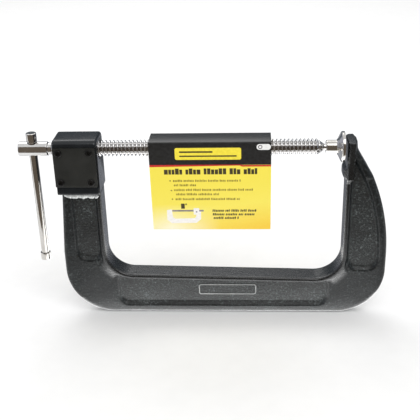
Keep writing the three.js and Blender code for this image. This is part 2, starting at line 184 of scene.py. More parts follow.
def hammered_paint():
    """Hammertone enamel: soft lumps and dark pin-pricks, strongest where the casting is sunk."""
    material, tree, shader = new_material("hammered_paint")
    vector = object_coordinates(tree)
    texture = add_node(tree, "ShaderNodeAttribute", attribute_name="texture")
    relief = texture.outputs["Fac"]
    warp = noise(tree, vector, 260.0, 2.0)
    cells = add_node(tree, "ShaderNodeTexVoronoi", feature="SMOOTH_F1")
    cells.inputs["Scale"].default_value = 640.0
    cells.inputs["Smoothness"].default_value = 0.7
    offset = add_node(tree, "ShaderNodeVectorMath", operation="MULTIPLY_ADD")
    offset.inputs[1].default_value = (0.0016, 0.0016, 0.0016)
    tree.links.new(warp, offset.inputs[0])
    tree.links.new(vector, offset.inputs[2])
    tree.links.new(offset.outputs["Vector"], cells.inputs["Vector"])
    lumps = cells.outputs["Distance"]
    specks = noise(tree, vector, 1400.0, 4.0, 0.75)
    drift = noise(tree, vector, 35.0, 3.0)
    height = math_node(tree, "ADD", lumps, math_node(tree, "MULTIPLY", specks, 0.6))
    coarse = math_node(tree, "MULTIPLY", lumps, 0.3)
    tone = math_node(tree, "ADD", math_node(tree, "MULTIPLY", specks, 0.7), coarse)
    tone = math_node(tree, "ADD", tone, math_node(tree, "MULTIPLY", drift, 0.25))
    rough_color = ramp(tree, tone, [(0.40, (0.001, 0.0015, 0.0015)), (0.55, (0.004, 0.005, 0.005)),
                                    (0.68, (0.018, 0.023, 0.023)), (0.82, (0.14, 0.16, 0.16))])
    smooth_color = ramp(tree, drift, [(0.3, (0.003, 0.004, 0.005)), (0.7, (0.007, 0.009, 0.010))])
    mix = add_node(tree, "ShaderNodeMix", data_type="RGBA")
    tree.links.new(relief, mix.inputs["Factor"])
    tree.links.new(smooth_color, mix.inputs["A"])
    tree.links.new(rough_color, mix.inputs["B"])
    tree.links.new(mix.outputs["Result"], shader.inputs["Base Color"])
    speck_gloss = remap(tree, specks, 0.8, 1.2, 0.35, 0.65)
    gloss = math_node(tree, "MULTIPLY", speck_gloss, remap(tree, relief, 0.24, 0.42))
    tree.links.new(gloss, shader.inputs["Roughness"])
    flange_shine = remap(tree, relief, 0.8, 0.36, 0.0, 0.5)
    shine = math_node(tree, "ADD", flange_shine, remap(tree, relief, 0.0, 0.14, 0.5, 1.0))
    tree.links.new(shine, shader.inputs["Specular IOR Level"])
    shader.inputs["Coat Weight"].default_value = 0.06
    shader.inputs["Coat Roughness"].default_value = 0.12
    bump(tree, shader, height, math_node(tree, "MULTIPLY_ADD", relief, 0.55), 0.0003)
    return material


def printed_ink(name, color, rough=0.38, spread=0.06):
    """Ink on coated card: a faint mottle in the tone and a slight tooth in the gloss."""
    material, tree, shader = new_material(name)
    vector = object_coordinates(tree)
    mottle = noise(tree, vector, 420.0, 3.0)
    low = tuple(max(0.0, channel * (1 - spread)) for channel in color)
    high = tuple(min(1.0, channel * (1 + spread)) for channel in color)
    tree.links.new(ramp(tree, mottle, [(0.35, low), (0.65, high)]), shader.inputs["Base Color"])
    tree.links.new(remap(tree, mottle, rough - 0.05, rough + 0.05, 0.3, 0.7), shader.inputs["Roughness"])
    bump(tree, shader, noise(tree, vector, 1500.0, 2.0), 0.08, 0.00003)
    return material


def yellow_ink():
    """The card's yellow field, deeper to the lower right and washed out at the lower left."""
    material, tree, shader = new_material("card_yellow")
    coordinates = add_node(tree, "ShaderNodeTexCoord")
    split = add_node(tree, "ShaderNodeSeparateXYZ")
    tree.links.new(coordinates.outputs["Object"], split.inputs["Vector"])
    mottle = noise(tree, coordinates.outputs["Object"], 420.0, 3.0)
    down = remap(tree, split.outputs["Z"], 1.0, 0.0, 0.0925, 0.157)
    along = remap(tree, split.outputs["X"], 0.0, 1.0, -0.065, 0.044)
    deep = math_node(tree, "MULTIPLY", math_node(tree, "POWER", down, 2.0), remap(tree, along, 0.35, 1.0))
    field = ramp(tree, math_node(tree, "ADD", deep, math_node(tree, "MULTIPLY", mottle, 0.06)),
                 [(0.0, (0.96, 0.80, 0.07)), (0.35, (0.97, 0.82, 0.10)), (1.0, (0.94, 0.60, 0.02))])
    across = math_node(tree, "ABSOLUTE", math_node(tree, "SUBTRACT", along, 0.16), 0.0)
    near = remap(tree, across, 1.0, 0.0, 0.0, 0.42)
    low = remap(tree, down, 0.0, 1.0, 0.62, 1.0)
    wash = math_node(tree, "MULTIPLY", math_node(tree, "MULTIPLY", near, low), 0.9)
    mix = add_node(tree, "ShaderNodeMix", data_type="RGBA")
    tree.links.new(wash, mix.inputs["Factor"])
    tree.links.new(field, mix.inputs["A"])
    mix.inputs["B"].default_value = (1.0, 0.95, 0.72, 1.0)
    tree.links.new(mix.outputs["Result"], shader.inputs["Base Color"])
    tree.links.new(remap(tree, mottle, 0.33, 0.43, 0.3, 0.7), shader.inputs["Roughness"])
    bump(tree, shader, noise(tree, coordinates.outputs["Object"], 1500.0, 2.0), 0.08, 0.00003)
    return material


PAINT = hammered_paint()
SATIN = plain_finish("satin_paint", (0.006, 0.008, 0.010), (0.010, 0.013, 0.016), (0.2, 0.28),
                     grain=1400.0, depth=0.00001, strength=0.2, specular=0.45)
COVER = plain_finish("cover_paint", (0.016, 0.017, 0.015), (0.027, 0.027, 0.024), (0.38, 0.5),
                     grain=900.0, depth=0.00004, strength=0.35, specular=0.3)
BLACK_STEEL = plain_finish("black_screw", (0.008, 0.008, 0.008), (0.02, 0.019, 0.018), (0.22, 0.36),
                           metal=0.6, grain=1200.0)
WELD = plain_finish("weld", (0.5, 0.52, 0.52), (0.9, 0.92, 0.91), (0.3, 0.55), metal=0.35,
                    grain=900.0, depth=0.00012, strength=0.7)
BRONZE = plain_finish("bronze", (0.36, 0.21, 0.07), (0.55, 0.34, 0.13), (0.25, 0.4), metal=1.0)
STEEL = plain_finish("steel", (0.32, 0.32, 0.33), (0.52, 0.52, 0.53), (0.25, 0.42), metal=1.0,
                     stretch=(0.3, 1, 1))
CHROME = plain_finish("bright_plate", (0.66, 0.655, 0.65), (0.78, 0.775, 0.77), (0.07, 0.14), metal=1.0,
                      grain=500.0, depth=0.00001, strength=0.12)
THREAD_PLATE = plain_finish("thread_plate", (0.70, 0.695, 0.69), (0.82, 0.815, 0.81), (0.07, 0.14), metal=1.0,
                            grain=900.0, strength=0.05)
# the thread's grooves get painted shade
paint_groove_shade(THREAD_PLATE)
NICKEL = plain_finish("dull_plate", (0.58, 0.56, 0.53), (0.70, 0.685, 0.66), (0.1, 0.18), metal=1.0,
                      grain=500.0, depth=0.00001, strength=0.15)
CARD_BLACK = printed_ink("card_black", (0.018, 0.018, 0.018), 0.33, 0.25)
CARD_RED = printed_ink("card_red", (0.62, 0.015, 0.01))
CARD_WHITE = printed_ink("card_white", (0.88, 0.88, 0.86), spread=0.03)
CARD_PLATE = printed_ink("card_plate", (0.95, 0.78, 0.04))
CARD_TEXT = printed_ink("card_text", (0.06, 0.045, 0.012), 0.4, 0.3)
CARD_SMALL = printed_ink("card_small_text", (0.30, 0.22, 0.015), 0.4, 0.2)
CARD_PALE = printed_ink("card_pale", (0.93, 0.90, 0.86), spread=0.05)
CARD_GREY = printed_ink("card_grey", (0.24, 0.22, 0.24), spread=0.2)
CARD_YELLOW = yellow_ink()
CARD_BOARD = printed_ink("card_board", (0.72, 0.68, 0.60), 0.7)


# ---------------------------------------------------------------- meshes

def smoothstep(low, high, value):
    t = np.clip((value - low) / (high - low), 0.0, 1.0)
    return t * t * (3.0 - 2.0 * t)


def make_object(name, vertices, faces, materials, body, replaced=(), sharp=35.0, indices=None,
                attributes=None, ride=True):
    mesh = bpy.data.meshes.new(name)
    mesh.from_pydata((np.asarray(vertices, float) * MM).tolist(), [], faces)
    for material in materials if isinstance(materials, (list, tuple)) else [materials]:
        mesh.materials.append(material)
    if indices is not None:
        mesh.polygons.foreach_set("material_index", indices)
    for key, values in (attributes or {}).items():
        layer = mesh.attributes.new(key, "FLOAT", "POINT")
        layer.data.foreach_set("value", np.asarray(values, np.float32))
    work = bmesh.new()
    work.from_mesh(mesh)
    bmesh.ops.remove_doubles(work, verts=work.verts, dist=1e-7)
    bmesh.ops.recalc_face_normals(work, faces=work.faces)
    work.to_mesh(mesh)
    work.free()
    mesh.update()
    finish_shading(mesh, sharp)
    thing = bpy.data.objects.new(name, mesh)
    bpy.context.scene.collection.objects.link(thing)
    if ride:
        settle(thing, body, replaced)
    return thing


def finish_shading(mesh, sharp):
    mesh.polygons.foreach_set("use_smooth", [True] * len(mesh.polygons))
    mesh.set_sharp_from_angle(angle=math.radians(sharp))


def settle(thing, body, replaced=()):
    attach(thing, body)
    if replaced:
        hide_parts(*replaced)
    return thing


def apply_modifiers(thing, sharp=None):
    bpy.context.view_layer.update()
    graph = bpy.context.evaluated_depsgraph_get()
    mesh = bpy.data.meshes.new_from_object(thing.evaluated_get(graph))
    thing.modifiers.clear()
    thing.data = mesh
    if sharp is not None:
        finish_shading(mesh, sharp)
    return thing


def carve(thing, *tools, sharp=35.0):
    for tool in tools:
        modifier = thing.modifiers.new("carve", "BOOLEAN")
        modifier.operation = "DIFFERENCE"
        modifier.solver = "EXACT"
        modifier.object = tool
    apply_modifiers(thing, sharp)
    for tool in tools:
        bpy.data.objects.remove(tool)
    return thing


def loft(rings, closed=True, caps=(True, True)):
    """Quads between rings of equal length; rings are closed loops and the ends get one face each."""
    rings = np.asarray(rings, float)
    count, around = rings.shape[:2]
    vertices = rings.reshape(-1, 3)
    faces = []
    span = around if closed else around - 1
    for s in range(count - 1):
        base = s * around
        for k in range(span):
            n = (k + 1) % around
            faces.append((base + k, base + n, base + around + n, base + around + k))
    if caps[0]:
        faces.append(tuple(range(around))[::-1])
    if caps[1]:
        faces.append(tuple(range((count - 1) * around, count * around)))
    return vertices, faces


def rounded(points, radius, steps=5):
    """A profile with each inner corner replaced by an arc of that radius, or of its own radius."""
    radii = radius if isinstance(radius, (list, tuple)) else [radius] * len(points)
    result = [points[0]]
    for i in range(1, len(points) - 1):
        before, corner, after = (np.array(points[i + k], float) for k in (-1, 0, 1))
        r = radii[i]
        a, b = before - corner, after - corner
        la, lb = np.linalg.norm(a), np.linalg.norm(b)
        cosine = float(np.clip(np.dot(a, b) / (la * lb), -1, 1))
        angle = math.acos(cosine)
        if r <= 0 or angle > 3.1 or angle < 0.05:
            result.append(tuple(corner))
            continue
        reach = min(r / math.tan(angle / 2), 0.49 * la, 0.49 * lb)
        start, end = corner + a / la * reach, corner + b / lb * reach
        for step in range(steps + 1):
            t = step / steps
            blend = (1 - t) ** 2 * start + 2 * t * (1 - t) * corner + t ** 2 * end
            result.append(tuple(blend))
    result.append(points[-1])
    return result


def turned(profile, segments, axis, at):
    """Vertices and faces of a profile of (radius, place) turned about an axis through at."""
    rings = []
    angles = np.linspace(0, 2 * math.pi, segments, endpoint=False)
    for r, along in profile:
        r = max(r, 1e-4)
        if axis == "x":
            ring = [(along, at[1] + r * math.cos(a), at[2] + r * math.sin(a)) for a in angles]
        elif axis == "y":
            ring = [(at[0] + r * math.cos(a), along, at[2] + r * math.sin(a)) for a in angles]
        else:
            ring = [(at[0] + r * math.cos(a), at[1] + r * math.sin(a), along) for a in angles]
        rings.append(ring)
    return rings


def turned_object(name, profile, axis, at, material, body, replaced=(), segments=64, sharp=35.0,
                  ride=True):
    closed = profile[0] == profile[-1]
    rings = turned(profile, segments, axis, at)
    vertices, faces = loft(rings, caps=(not closed, not closed))
    return make_object(name, vertices, faces, material, body, replaced, sharp, ride=ride)


def cylinder_tool(radius, axis, at, start, end, segments=64):
    return turned_object("tool", [(radius, start), (radius, end)], axis, at, STEEL, None,
                         segments=segments, ride=False)


def box_tool(x0, x1, y0, y1, z0, z1):
    corners = [(x, y, z) for x in (x0, x1) for y in (y0, y1) for z in (z0, z1)]
    faces = [(0, 1, 3, 2), (4, 6, 7, 5), (0, 4, 5, 1), (2, 3, 7, 6), (0, 2, 6, 4), (1, 5, 7, 3)]
    return make_object("tool", corners, faces, STEEL, None, ride=False)


# ---------------------------------------------------------------- the casting

WEB_HALF = 6.8
PANEL_HALF = 3.4
FLANGE_HALF = 11.0
TIP_HALF = 13.4
FLANGE_WIDTH = 4.0
PANEL_WALL = 4.2
HORN_RIM = 6.4
INNER_R = 25.5
OUTER_R = 45.7
OUT_X = 152.8
HORN_R = 200.0
HORN_Z = 62.0
HORN_TURN = 23.3
HORN_TOP = [(123.6, 163), (120.6, 169), (119.8, 177)]
EDGE_R = 2.3
SPINE_TOP_LEFT = 43.9
SPINE_TOP_RIGHT = 39.9
SPINE_FLAT_X = 91.0
ARM_TOP_Z = 129.2
ARM_TOP_X = -148.4
ARM_BEND_Z = 66.0
TIP_NECK_Z = 137.4


def arc(cx, cz, r, start, end, count=60):
    angles = np.linspace(math.radians(start), math.radians(end), count)
    return [(cx + r * math.cos(a), cz + r * math.sin(a)) for a in angles]


def resample(points, count, last=False):
    points = np.array(points, float)
    steps = np.hypot(*np.diff(points, axis=0).T)
    length = np.concatenate([[0], np.cumsum(steps)])
    wanted = np.linspace(0, length[-1], count, endpoint=last)
    return np.stack([np.interp(wanted, length, points[:, i]) for i in (0, 1)], axis=1)


def horn_inner():
    """The throat side of the horn, a straight line up its inner face from the bend to the tip."""
    points = []
    for z in np.linspace(66, 177, 260):
        points.append((ARM_IN, z))
    return points


def swelling(z):
    """How far the middle of the horn's throat face bulges below the anvil."""
    return 3.4 * smoothstep(137, 145, z) * (1 - smoothstep(149.5, 154.5, z))


def casting_sections():
    scale = 1.0
    corner_x = ARM_IN - INNER_R
    horn_outer = arc(OUT_X - HORN_R, HORN_Z, HORN_R, 0, HORN_TURN, 80) + HORN_TOP
    parts = [
        ([(-ARM_IN, ARM_TOP_Z), (-ARM_IN, 70)], [(ARM_TOP_X, ARM_TOP_Z), (-OUT_X, ARM_BEND_Z)], 80),
        (arc(-corner_x, SPINE_TOP_LEFT + INNER_R, INNER_R, 180, 270),
         [(-OUT_X, ARM_BEND_Z)] + arc(OUTER_R - OUT_X, OUTER_R, OUTER_R, 180, 270)
         + [(-SPINE_FLAT_X, 0)], 90),
        ([(-corner_x, SPINE_TOP_LEFT), (corner_x, SPINE_TOP_RIGHT)],
         [(-SPINE_FLAT_X, 0), (SPINE_FLAT_X, 0)], 240),
        (arc(corner_x, SPINE_TOP_RIGHT + INNER_R, INNER_R, 270, 360),
         [(SPINE_FLAT_X, 0)] + arc(OUT_X - OUTER_R, OUTER_R, OUTER_R, 270, 360)
         + [(OUT_X, HORN_Z)], 90),
        (horn_inner(), horn_outer, 220),
    ]
    inner, outer = [], []
    for i, (a, b, count) in enumerate(parts):
        last = i == len(parts) - 1
        inner.append(resample(a, int(count * scale), last))
        outer.append(resample(b, int(count * scale), last))
    return np.concatenate(inner), np.concatenate(outer)


def rounded_meet(distances, radius):
    """Signed distance to where several half-planes meet, with rounded corners; negative inside."""
    stacked = np.stack(distances)
    outside = np.sqrt((np.maximum(stacked + radius, 0) ** 2).sum(0))
    return outside + np.minimum(stacked.max(0) + radius, 0) - radius


def panel_distance(x, z, d_in):
    flange_side = FLANGE_WIDTH + 0.6 - d_in
    spine = rounded_meet([1.3 * (-103.5 - x), 1.3 * (x - 100.5), 7.4 - z, 1.6 * flange_side], 13.0)
    spine = np.where(z < 48, spine, 99.0)
    arm = rounded_meet([1.3 * (-141.0 - x), 56.8 - z, 1.6 * flange_side], 12.5)
    arm = np.where((x < -100) & (z > 48), arm, 99.0)
    curve = np.where(z > HORN_Z, np.hypot(x - (OUT_X - HORN_R), z - HORN_Z) - HORN_R, x - OUT_X) + HORN_RIM
    corner = 13.5 - 9.0 * smoothstep(80, 140, z)
    horn = rounded_meet([1.3 * (115.2 - x), 1.3 * curve, 46.2 - z], corner)
    horn = np.where((x > 100) & (z > 40), horn, 99.0)
    return np.minimum(np.minimum(spine, arm), horn)


def casting():
    inner, outer = casting_sections()
    width = np.hypot(*(outer - inner).T)
    near = np.array([0, 0.1, 0.35, 0.75, 1.3, 2.2, 3.0, 3.4, 3.8, 4.2, 4.6, 5.0, 5.5, 6.2, 7.2, 8.2])
    far = np.array([0, 0.12, 0.45, 1.0, 1.7, 2.6, 3.6, 4.8, 6.2])
    middle = 44
    d_in = np.zeros((len(inner), len(near) + middle + len(far)))
    for i, w in enumerate(width):
        a = near * min(1.0, 0.5 * w / near[-1])
        b = w - far[::-1] * min(1.0, 0.4 * w / far[-1])
        d_in[i] = np.concatenate([a, np.linspace(a[-1], b[0], middle + 2)[1:-1], b])
    d_out = width[:, None] - d_in
    share = d_in / width[:, None]
    x = inner[:, None, 0] * (1 - share) + outer[:, None, 0] * share
    z = inner[:, None, 1] * (1 - share) + outer[:, None, 1] * share
    on_horn = (x > 100) & (z > 120)
    tip = np.where(on_horn, np.clip((z - TIP_NECK_Z) / 4.8, 0, 1), 0.0)
    block = np.where(on_horn, smoothstep(TIP_NECK_Z + 1.6, TIP_NECK_Z + 5.6, z), 0.0)
    panel = panel_distance(x, z, d_in)
    slope = np.clip(-panel / PANEL_WALL, 0.0, 1.0)
    sunk = 0.5 * (slope + slope * slope * (3 - 2 * slope))
    web = WEB_HALF + 1.0 * block
    half = web - (web - PANEL_HALF) * sunk
    edge_start = FLANGE_WIDTH - 0.7 + 3.3 * block
    flange_half = FLANGE_HALF + (TIP_HALF - FLANGE_HALF) * tip
    fillet = 2.5 - 1.1 * block + 8.5 * smoothstep(-0.5, 6.0, panel) * (1 - block)
    falling = np.clip((d_in - edge_start) / fillet, 0, 1)
    on_flange = (1 - falling) ** 2 * (1 + 1.2 * falling)
    half = half + (flange_half - half) * on_flange
    edge = EDGE_R + 1.8 * smoothstep(152, 158, z) * on_horn
    half -= edge - np.sqrt(np.maximum(edge ** 2 - np.maximum(edge - d_in, 0) ** 2, 0))
    rim = np.where(on_horn & (z > 150), 2.0, 4.2)
    half -= rim - np.sqrt(np.maximum(rim ** 2 - np.maximum(rim - d_out, 0) ** 2, 0))
    wobble = 0.12 * np.sin(x / 7.3 + 1.3 * np.sin(z / 9.1)) * np.sin(z / 6.1 + 0.7) * (1 - on_flange)
    half += wobble * (1 - smoothstep(0, 2, rim - d_out))
    texture = (0.5 + 0.5 * sunk) * (1 - 0.85 * on_flange)
    across = np.array([-0.98, -0.85, -0.65, -0.4, -0.14, 0.14, 0.4, 0.65, 0.85, 0.98])
    rings, marks = [], []
    for i in range(len(inner)):
        front = np.stack([x[i], -half[i], z[i]], axis=1)
        back = front[::-1] * (1, -1, 1)
        rim_side = np.array([(x[i, -1], half[i, -1] * t, z[i, -1]) for t in across])
        bulge = swelling(z[i, 0]) if x[i, 0] > 100 else 0.0
        throat_side = np.array([(x[i, 0] - bulge * (1 - t ** 4), half[i, 0] * t, z[i, 0])
                                for t in across[::-1]])
        rings.append(np.concatenate([front, rim_side, back, throat_side]))
        n = len(across)
        marks.append(np.concatenate([texture[i], [texture[i, -1]] * n, texture[i][::-1], [0.05] * n]))
    last = rings[-1]
    centre = last.mean(0)
    top_r = 1.3
    rings[-1] = last - (0, 0, top_r)
    for t in (15, 30, 45, 60, 75, 90):
        a = math.radians(t)
        inset = top_r * (1 - math.cos(a))
        flat = (last - centre) * (1, 1, 0)
        reach = np.maximum(np.abs(flat).max(1), 1e-6)[:, None]
        moved = last - (0, 0, top_r * (1 - math.sin(a))) - flat / reach * inset
        rings.append(moved)
        marks.append(marks[-1])
    vertices, faces = loft(rings)
    return make_object("casting", vertices, faces, PAINT, "frame", ["frame_casting"],
                       sharp=50.0, attributes={"texture": np.concatenate(marks)})


BADGE_SECTION = ((0.55, -0.4), (0.5, 0.35), (0.28, 0.55), (-0.28, 0.55), (-0.5, 0.35), (-0.55, -0.4))


def name_plate():
    """A blank raised outline in the spine's sunk panel, where such castings carry their badge."""
    for side, name in ((-1, "badge_outline_front"), (1, "badge_outline_back")):
        y = side * PANEL_HALF
        outline = rounded_rectangle(-24.3, 30.3, 19.0, 29.3, 2.0, 5)
        rings = []
        for out, lift in BADGE_SECTION:
            rings.append([(px + out * nx, y + side * lift, pz + out * nz) for px, pz, nx, nz in outline])
        rings.append(rings[0])
        vertices, faces = loft(rings, caps=(False, False))
        make_object(name, vertices, faces, BADGE, "frame")


def rounded_rectangle(x0, x1, z0, z1, r, steps=6):
    """Points and outward normals round a rectangle; r is one corner radius, or the top's and the bottom's."""
    result = []
    top, low = r if isinstance(r, tuple) else (r, r)
    corners = ((x1 - top, z1 - top, 0, top), (x0 + top, z1 - top, 90, top),
               (x0 + low, z0 + low, 180, low), (x1 - low, z0 + low, 270, low))
    for cx, cz, start, radius in corners:
        for k in range(steps + 1):
            a = math.radians(start + 90 * k / steps)
            result.append((cx + radius * math.cos(a), cz + radius * math.sin(a), math.cos(a), math.sin(a)))
    return result


BADGE = plain_finish("badge_paint", (0.25, 0.26, 0.26), (0.5, 0.51, 0.5), (0.3, 0.42), metal=0.2)


# ---------------------------------------------------------------- the head

HEAD_X0, HEAD_X1 = -151.0, -110.8
HEAD_HALF = 16.5
HEAD_Z0, HEAD_Z1 = 129.5, 181.6
HEAD_TOP_R, HEAD_LOW_R, HEAD_END_R = 6.2, 2.6, 2.4
COVER_Z0, COVER_Z1 = 137.5, 175.6


def head():
    """A block with a broad round along its top edges, hollow for the release and bored for the screw."""
    outline = rounded_rectangle(-HEAD_HALF, HEAD_HALF, HEAD_Z0, HEAD_Z1, (HEAD_TOP_R, HEAD_LOW_R), 8)
    ends = []
    for degrees in range(0, 91, 10):
        a = math.radians(degrees)
        ends.append((HEAD_X0 + HEAD_END_R * (1 - math.cos(a)), -HEAD_END_R * (1 - math.sin(a))))
    ends += [(HEAD_X0 + HEAD_X1 - x, inset) for x, inset in ends[::-1]]
    rings = [[(x, py + inset * ny, pz + inset * nz) for py, pz, ny, nz in outline] for x, inset in ends]
    vertices, faces = loft(rings)
    housing = make_object("head", vertices, faces, SATIN, None, ride=False)
    cover_seat = box_tool(HEAD_X0 - 2, HEAD_X1 + 2, -20, -14, COVER_Z0 - 0.3, COVER_Z1 + 0.3)
    chamber = box_tool(-141, -122, -14.5, 11.5, 141, COVER_Z1)
    outer_step = box_tool(HEAD_X0 - 2, -149.6, -20, 20, 125, COVER_Z0 - 0.3)
    screw_bore = cylinder_tool(9.5, "x", (0, 0, AXIS_Z), HEAD_X0 - 4, HEAD_X1 + 4)
    button_bore = cylinder_tool(6.5, "y", (BUTTON_X, 0, BUTTON_Z), 5, 20)
    tools = [cover_seat, chamber, outer_step, screw_bore, button_bore]
    carve(housing, *tools)
    edge = housing.modifiers.new("edge", "BEVEL")
    edge.width = 0.35 * MM
    edge.segments = 2
    edge.limit_method = "ANGLE"
    edge.angle_limit = math.radians(50)
    apply_modifiers(housing, 40.0)
    settle(housing, "frame", ["head_housing"])


COVER_SCREWS = ((-145.3, 170.6), (-117.8, 170.8), (-145.3, 142.4), (-117.8, 142.2))


def cover():
    outline = rounded_rectangle(HEAD_X0 + 0.6, HEAD_X1 - 1.4, COVER_Z0, COVER_Z1, 1.2, 4)
    rings = []
    for out, y in ((0, -14.3), (0, -16.0), (-0.15, -16.35), (-0.5, -16.5)):
        rings.append([(px + out * nx, y, pz + out * nz) for px, pz, nx, nz in outline])
    vertices, faces = loft(rings)
    plate = make_object("cover", vertices, faces, COVER, None, ride=False)
    holes = [cylinder_tool(2.0, "y", (x, 0, z), -20, -10, 32) for x, z in COVER_SCREWS]
    carve(plate, *holes)
    settle(plate, "frame", ["cover_plate"])
    for i, (x, z) in enumerate(COVER_SCREWS):
        socket_screw(f"cover_bolt_{i + 1}", x, z, 0.4 + 0.5 * i, [f"cover_screw_{i + 1}"])


def socket_screw(name, x, z, twist, replaced):
    """A low round-headed screw with a hexagonal socket, its shank going back into the head."""
    segments = 48
    rings = []

    def ring(radius, y, hexagon=0.0):
        points = []
        for k in range(segments):
            a = 2 * math.pi * k / segments
            wedge = ((a + math.pi / 6) % (math.pi / 3)) - math.pi / 6
            r = radius * ((1 - hexagon) + hexagon * math.cos(math.pi / 6) / math.cos(wedge) * 1.08)
            points.append((x + r * math.cos(a + twist), y, z + r * math.sin(a + twist)))
        rings.append(points)

    for radius, y in ((1.7, -10.5), (1.7, -16.55), (3.1, -16.6), (3.3, -16.8), (3.3, -17.2), (3.1, -17.65),
                      (2.7, -17.95), (2.2, -18.1)):
        ring(radius, y)
    for radius, y in ((1.75, -18.1), (1.62, -18.0), (1.6, -16.9)):
        ring(radius, y, hexagon=1.0)
    ring(0.01, -16.7)
    vertices, faces = loft(rings)
    make_object(name, vertices, faces, BLACK_STEEL, "frame", replaced)


def weld_bead(side, name, replaced):
    """A rippled bead that fills the corner between the arm and the head."""
    rings = []
    count = 90
    for i in range(count):
        t = i / (count - 1)
        x = -146.2 + 33.0 * t
        end = min(1.0, 6 * t, 6 * (1 - t)) ** 0.5
        ripple = 0.15 * math.sin(x * 2.1) + 0.2 * math.sin(x * 0.83 + 1) + 0.1 * math.sin(x * 4.7)
        size = max(0.25, end * (3.5 + ripple))
        base_y = 6.6 + 4.0 * smoothstep(-117.6, -115.4, x)
        ring = []
        for k in range(16):
            a = 2 * math.pi * k / 16
            bulge = 1 + 0.05 * math.sin(3 * a + x)
            ring.append((x, side * (base_y + 0.9 + size * bulge * math.cos(a)),
                         min(129.4, 126.6 + 0.25 * math.sin(x * 0.7) + 0.95 * size * bulge * math.sin(a))))
        rings.append(ring)
    vertices, faces = loft(rings)
    make_object(name, vertices, faces, WELD, "frame", replaced, sharp=60.0)


def button():
    profile = rounded([(0, 7.3), (4.4, 7.3), (4.4, 19.3), (7.5, 19.3), (7.5, 24.3), (5.6, 24.3),
                       (4.6, 23.7), (0, 23.7)], [0, 0.2, 0.2, 0.4, 0.9, 0.5, 0.6, 0], 5)
    turned_object("button", profile, "y", (BUTTON_X, 0, BUTTON_Z), BLACK_STEEL, "release",
                  ["release_button"], segments=72)


SPRING_FRONT_Y, SPRING_LENGTH = -11.9, 14.3
SPRING_R, SPRING_WIRE_R = 3.4, 0.45


def spring():
    turns, around = 6, 10
    steps = turns * 30
    rings = []
    for i in range(steps + 1):
        t = i / steps
        a = 2 * math.pi * turns * t
        y = SPRING_FRONT_Y + SPRING_LENGTH * t
        outward = np.array([math.cos(a), 0, math.sin(a)])
        centre = np.array([BUTTON_X, y, BUTTON_Z]) + SPRING_R * outward
        ring = []
        for k in range(around):
            b = 2 * math.pi * k / around
            ring.append(centre + SPRING_WIRE_R * (math.cos(b) * outward + math.sin(b) * np.array([0, 1, 0])))
        rings.append(ring)
    vertices, faces = loft(rings)
    coil = make_object("coil_spring", vertices, faces, STEEL, "frame", ["return_spring"])
    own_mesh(coil)


# ---------------------------------------------------------------- the screw

THREAD_START, THREAD_END = -154.4, 90.6
THREAD_CONE_X = 84.3
HANDLE_END = -184.3
NECK_R = 3.2
BALL_X, BALL_R = 99.0, 3.9


def thread():
    """The rolled thread, as a surface whose rows follow the helix."""
    around = 60
    along = 12
    start, end = THREAD_START, THREAD_END
    crest, root = THREAD_R, THREAD_ROOT_R
    places = np.arange(along) / along
    wave = np.abs(2 * places - 1)
    shape = root + (crest - root) * smoothstep(0.16, 0.80, wave)
    turns = int((end - start) / THREAD_PITCH) + 3
    rows = turns * along
    j = np.arange(rows)[:, None]
    i = np.arange(around)[None, :]
    x = start - 2 * THREAD_PITCH + THREAD_PITCH * (j / along + i / around)
    r = shape[j % along] + 0 * i
    r = np.minimum(r, 5.4 + np.maximum(x - start, 0) * 1.6)
    cone = np.interp(x, [THREAD_CONE_X, THREAD_END], [THREAD_R, NECK_R])
    r = np.where(x < start, 5.4, np.minimum(r, cone))
    x = np.clip(x, start, end)
    angle = 2 * math.pi * i / around + 0 * j
    vertices = np.stack([x, r * np.cos(angle), AXIS_Z + r * np.sin(angle)], axis=2).reshape(-1, 3)
    faces = []
    for row in range(rows - 1):
        for k in range(around):
            here = row * around + k
            if k < around - 1:
                quad = (here, here + 1, here + around + 1, here + around)
            elif row + along + 1 < rows:
                quad = (here, (row + along) * around, (row + along + 1) * around, here + around)
            else:
                continue
            corners = vertices[list(quad), 0]
            if corners.max() - corners.min() > 1e-6:
                faces.append(quad)
    used = sorted({index for face in faces for index in face})
    lookup = {old: new for new, old in enumerate(used)}
    faces = [tuple(lookup[index] for index in face) for face in faces]
    work = bmesh.new()
    for point in vertices[used]:
        work.verts.new(Vector(point))
    work.verts.ensure_lookup_table()
    for face in faces:
        work.faces.new([work.verts[index] for index in face])
    bmesh.ops.remove_doubles(work, verts=work.verts, dist=1e-4)
    bmesh.ops.dissolve_degenerate(work, edges=work.edges, dist=1e-4)
    bmesh.ops.holes_fill(work, edges=[e for e in work.edges if e.is_boundary], sides=0)
    points = [tuple(v.co) for v in work.verts]
    index = {v: n for n, v in enumerate(work.verts)}
    faces = [tuple(index[v] for v in f.verts) for f in work.faces]
    work.free()
    # how deep each point sits in the thread's groove; the finish paints shade in proportion to it
    groove = []
    for x, y, z in points:
        depth = (crest - math.hypot(y, z - AXIS_Z)) / (crest - root)
        groove.append(max(0.0, depth) if x < 86 else 0.3)
    make_object("screw_thread", points, faces, THREAD_PLATE, "spindle", ["screw_spindle"],
                sharp=75.0, attributes={"groove": groove})


